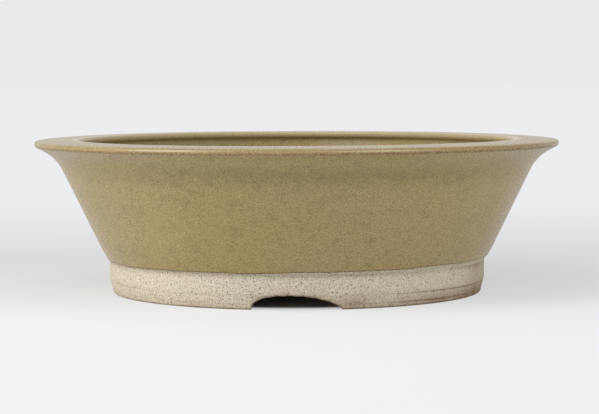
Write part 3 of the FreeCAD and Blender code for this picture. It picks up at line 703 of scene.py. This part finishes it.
to_needle = np.min(np.hypot(lead_x[..., None] - needle_x, lead_y[..., None] - needle_y), axis=-1)
rolling = np.sin(lead_x * ROLLING_RATE + 1) + np.sin(lead_y * ROLLING_ACROSS + lead_x * ROLLING_ASLANT)
rolling = ROLLING * (rolling + 2)
on_top = soft_step(lead_line[:, 1:], frog_top - SUNK_BAND, frog_top)
lead_up = lead_line[:, 1:] - on_top * (SINK * (1 - np.exp(-(to_needle / COLLAR_WIDTH) ** 2)) + rolling)
lead_base = add_piece("frog_lead_base", "kenzan", ["kenzan_base"],
                      np.stack([lead_x, lead_y, lead_up], axis=-1))

# Dull cast lead: a grey metal gone soft and cloudy, with a bluish bloom in patches and a fine cast grain.
LEAD_BLOOM_SIZE, LEAD_GRAIN_SIZE = 7 * MM, 0.7 * MM
lead, lead_finish = new_material("dull_cast_lead")
lead_place = add_node(lead, "ShaderNodeTexCoord").outputs["Object"]
lead_bloom = add_node(lead, "ShaderNodeTexNoise", {
    "Vector": lead_place, "Scale": 1 / LEAD_BLOOM_SIZE, "Detail": 5.0})
lead_grain = add_node(lead, "ShaderNodeTexNoise", {
    "Vector": lead_place, "Scale": 1 / LEAD_GRAIN_SIZE, "Detail": 2.0})
lead_colour = add_node(lead, "ShaderNodeMix", {
    FACTOR: lead_bloom.outputs["Fac"], FIRST: linear("#6F7276"), SECOND: linear("#A3A6AA")}, data_type="RGBA")
lead_rough = add_node(lead, "ShaderNodeMapRange", {
    "Value": lead_bloom.outputs["Fac"], "From Min": 0.3, "From Max": 0.7, "To Min": 0.42, "To Max": 0.62})
lead_bump = add_node(lead, "ShaderNodeBump", {
    "Height": lead_grain.outputs["Fac"], "Strength": 0.4, "Distance": 0.06 * MM})
lead.node_tree.links.new(lead_colour.outputs[MIXED], lead_finish.inputs["Base Color"])
lead.node_tree.links.new(lead_rough.outputs[0], lead_finish.inputs["Roughness"])
lead.node_tree.links.new(lead_bump.outputs["Normal"], lead_finish.inputs["Normal"])
lead_finish.inputs["Metallic"].default_value = 1.0
lead_base.data.materials.append(lead)

# Needles of the frog
# Brass wire cut to length, pointed, and cast into the lead in rings. No two stand quite alike: each leans a
# little its own way and differs in height by a fraction of a millimetre, by the sine of its number times a
# rate of its own for each.
NEEDLE_RADIUS, NEEDLE_POINT, NEEDLE_BITE, NEEDLE_SIDES = 0.6, 4.0, 0.5, 8
NEEDLE_WAIST_SHARE, NEEDLE_WAIST_DOWN, NEEDLE_TIP, NEEDLE_TIP_DOWN = 0.62, 0.55, 0.1, 0.12
LEAN, SHORTER = 0.16, 0.35
SHORTER_RATE, LEAN_X_RATE, LEAN_Y_RATE, TARNISH_RATE = 2.4, 1.7, 2.9, 3.7
needle_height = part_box("kenzan_needles")[1].z / MM - frog_top
count = np.arange(len(needle_x))[:, None, None]
shorter = SHORTER * (0.5 - 0.5 * np.sin(count * SHORTER_RATE))
wire = np.array([
    (0, -NEEDLE_BITE),
    (NEEDLE_RADIUS, -NEEDLE_BITE),
    (NEEDLE_RADIUS, needle_height - NEEDLE_POINT),
    (NEEDLE_RADIUS * NEEDLE_WAIST_SHARE, needle_height - NEEDLE_POINT * NEEDLE_WAIST_DOWN),
    (NEEDLE_TIP, needle_height - NEEDLE_TIP_DOWN),
    (0, needle_height),
])
wire_radius, wire_up = wire[:, :1], wire[:, 1:]
wire_azimuth = around(NEEDLE_SIDES)
leaning = LEAN * wire_up / needle_height
needle_grid = np.stack(np.broadcast_arrays(
    needle_x[:, None, None] + wire_radius * np.sin(wire_azimuth) + leaning * np.sin(count * LEAN_X_RATE),
    needle_y[:, None, None] - wire_radius * np.cos(wire_azimuth) + leaning * np.cos(count * LEAN_Y_RATE),
    frog_top + wire_up - shorter * (wire_up > 0)), axis=-1)
needles = add_piece("frog_needles", "kenzan", ["kenzan_needles"], needle_grid,
                    {"tarnish": 0.5 + 0.5 * np.sin(count * TARNISH_RATE)})

# Drawn brass wire: yellow metal with a soft gleam, some needles browner than others, in soft clouds.
BRASS_CLOUD_SIZE = 3 * MM
brass, brass_finish = new_material("drawn_brass_wire")
brass_place = add_node(brass, "ShaderNodeTexCoord").outputs["Object"]
brass_cloud = add_node(brass, "ShaderNodeTexNoise", {
    "Vector": brass_place, "Scale": 1 / BRASS_CLOUD_SIZE, "Detail": 3.0})
brass_age = add_node(brass, "ShaderNodeAttribute", attribute_name="tarnish")
brass_mix = add_node(brass, "ShaderNodeMath", {
    0: brass_age.outputs["Fac"], 1: brass_cloud.outputs["Fac"]}, operation="MULTIPLY")
brass_colour = add_node(brass, "ShaderNodeMix", {
    FACTOR: brass_mix.outputs[0], FIRST: linear("#D9B463"), SECOND: linear("#8D6A33")}, data_type="RGBA")
brass.node_tree.links.new(brass_colour.outputs[MIXED], brass_finish.inputs["Base Color"])
brass_finish.inputs["Metallic"].default_value = 1.0
brass_finish.inputs["Roughness"].default_value = 0.3
needles.data.materials.append(brass)

# Floor
# A large pale tabletop that runs into the backdrop with no edge. It is a little greyer beside and behind the
# vessel, where the studio light falls off, and it takes the vessel's shadow. To the camera and in reflections
# it is partly a sheet that glows in its own colour: not under the vessel, by GLOW_SHARE round it, and further
# out by a share that grows from none at FADE_FROM to all at FADE_TO, where that is more. Lengths from here
# on are in metres.
FLOOR_HALF = 12.0
FLOOR_NEAR, FLOOR_FAR = -0.45, 1.2
FADE_FROM, FADE_TO = 0.22, 0.75
GLOW_SHARE = 0.66
GLOW_FROM, GLOW_TO = 0.090, 0.100
floor_mesh = bpy.data.meshes.new("floor")
floor_mesh.from_pydata([(-FLOOR_HALF, -FLOOR_HALF, 0), (FLOOR_HALF, -FLOOR_HALF, 0),
                        (FLOOR_HALF, FLOOR_HALF, 0), (-FLOOR_HALF, FLOOR_HALF, 0)], [], [(0, 1, 2, 3)])
floor = bpy.data.objects.new("floor", floor_mesh)
bpy.context.scene.collection.objects.link(floor)
paper, paper_finish = new_material("seamless_paper")
paper_place = add_node(paper, "ShaderNodeTexCoord").outputs["Object"]
paper_axes = add_node(paper, "ShaderNodeSeparateXYZ", {"Vector": paper_place})
paper_depth = add_node(paper, "ShaderNodeMapRange", {
    "Value": paper_axes.outputs["Y"], "From Min": FLOOR_NEAR, "From Max": FLOOR_FAR})
paper_colour = add_node(paper, "ShaderNodeValToRGB", {"Fac": paper_depth.outputs[0]}, stops=[
    (0.03, linear("#EDEEEF")), (1.0, linear("#ECEDEF")), (0.20, linear("#EFF0F2")),
    (0.245, linear("#E9E9E9")), (0.30, linear("#E4E3E3")), (0.40, linear("#DFDEDF")),
    (0.57, linear("#EBEBED"))])
paper.node_tree.links.new(paper_colour.outputs["Color"], paper_finish.inputs["Base Color"])
paper_finish.inputs["Roughness"].default_value = 0.9
paper_finish.inputs["Specular IOR Level"].default_value = 0.1
paper_distance = add_node(paper, "ShaderNodeVectorMath", {0: paper_place}, operation="LENGTH")
paper_far = add_node(paper, "ShaderNodeMapRange", {
    "Value": paper_distance.outputs["Value"], "From Min": FADE_FROM, "From Max": FADE_TO},
    interpolation_type="SMOOTHSTEP")
paper_near = add_node(paper, "ShaderNodeMapRange", {
    "Value": paper_distance.outputs["Value"], "From Min": GLOW_FROM, "From Max": GLOW_TO,
    "To Max": GLOW_SHARE})
paper_share = add_node(paper, "ShaderNodeMath", {
    0: paper_near.outputs[0], 1: paper_far.outputs[0]}, operation="MAXIMUM")
paper_path = add_node(paper, "ShaderNodeLightPath")
paper_seen = add_node(paper, "ShaderNodeMath", {
    0: paper_path.outputs["Is Camera Ray"], 1: paper_path.outputs["Is Glossy Ray"]}, operation="MAXIMUM")
paper_seen_or_through = add_node(paper, "ShaderNodeMath", {
    0: paper_seen.outputs[0], 1: paper_path.outputs["Is Transmission Ray"]}, operation="MAXIMUM")
paper_glows = add_node(paper, "ShaderNodeMath", {
    0: paper_share.outputs[0], 1: paper_seen_or_through.outputs[0]}, operation="MULTIPLY")
paper_glow = add_node(paper, "ShaderNodeEmission", {"Color": paper_colour.outputs["Color"]})
paper_both = add_node(paper, "ShaderNodeMixShader", {
    0: paper_glows.outputs[0], 1: paper_finish.outputs[0], 2: paper_glow.outputs[0]})
paper.node_tree.links.new(paper_both.outputs[0], paper.node_tree.nodes["Material Output"].inputs["Surface"])
floor_mesh.materials.append(paper)

# Backdrop and light
# An even pale backdrop, seen directly and in reflections, and a dimmer even light from all round. Soft studio
# light comes from a key panel high in front at the left, a broad panel at each side that is kept out of
# reflections, a weak low one in front and a weak one overhead.
world = bpy.data.worlds.new("studio")
world.use_nodes = True
bpy.context.scene.world = world
path = add_node(world, "ShaderNodeLightPath")
seen = add_node(world, "ShaderNodeMath", {
    0: path.outputs["Is Camera Ray"], 1: path.outputs["Is Glossy Ray"]}, operation="MAXIMUM")
seen_or_through = add_node(world, "ShaderNodeMath", {
    0: seen.outputs[0], 1: path.outputs["Is Transmission Ray"]}, operation="MAXIMUM")
ambient = add_node(world, "ShaderNodeBackground", {"Color": linear("#FFFFFF"), "Strength": 0.40})
backdrop = add_node(world, "ShaderNodeBackground", {"Color": linear("#EBEBEE"), "Strength": 1.0})
sky = add_node(world, "ShaderNodeMixShader", {
    0: seen_or_through.outputs[0], 1: ambient.outputs[0], 2: backdrop.outputs[0]})
world.node_tree.links.new(sky.outputs[0], world.node_tree.nodes["World Output"].inputs["Surface"])
AIM = Vector((0, 0, 0.05))


def add_panel(name, place, size, strength, in_reflections=True):
    """A square light panel aimed at the vessel, of such power that at the vessel it lights a white surface
    facing it to that strength: power is pi squared times distance squared times strength."""
    lamp = bpy.data.lights.new(name, "AREA")
    lamp.size = size
    panel = bpy.data.objects.new(name, lamp)
    panel.location = place
    panel.visible_glossy = in_reflections
    towards = AIM - panel.location
    lamp.energy = math.pi ** 2 * towards.length_squared * strength
    panel.rotation_euler = towards.to_track_quat("-Z", "Y").to_euler()
    bpy.context.scene.collection.objects.link(panel)


add_panel("key_panel", (-0.70, -0.90, 1.31), 0.9, 0.34)
add_panel("left_panel", (-1.52, -0.27, 0.46), 1.4, 0.76, in_reflections=False)
add_panel("right_panel", (1.49, -0.40, 0.46), 1.4, 0.46, in_reflections=False)
add_panel("front_panel", (-0.2, -1.9, 0.57), 1.2, 0.11)
add_panel("overhead_panel", (0.0, -0.3, 1.6), 1.4, 0.10)

# Camera
# A long lens 1.2 metres in front of the vessel's middle, a little above the rim, tilted down to it and rolled
# by a fifth of a degree. Its focal length is given in pixels of an image of IMAGE_WIDTH, and the angles are
# in radians.
IMAGE_WIDTH = 599
FOCAL_PIXELS = 2113.5
CAMERA_PLACE = Vector((1.55, -1216.1, 128.28)) * MM
PITCH, ROLL_ANGLE = 0.0661, -0.0035
lens = bpy.data.cameras.new("camera")
lens.sensor_width = 36.0
lens.sensor_fit = "HORIZONTAL"
lens.lens = lens.sensor_width * FOCAL_PIXELS / IMAGE_WIDTH
lens.clip_start, lens.clip_end = 0.05, 50.0
camera = bpy.data.objects.new("camera", lens)
bpy.context.scene.collection.objects.link(camera)
camera.matrix_world = (Matrix.Translation(CAMERA_PLACE) @ Matrix.Rotation(math.pi / 2 - PITCH, 4, "X")
                       @ Matrix.Rotation(ROLL_ANGLE, 4, "Z"))
bpy.context.scene.camera = camera
bpy.context.scene.view_settings.view_transform = "Standard"
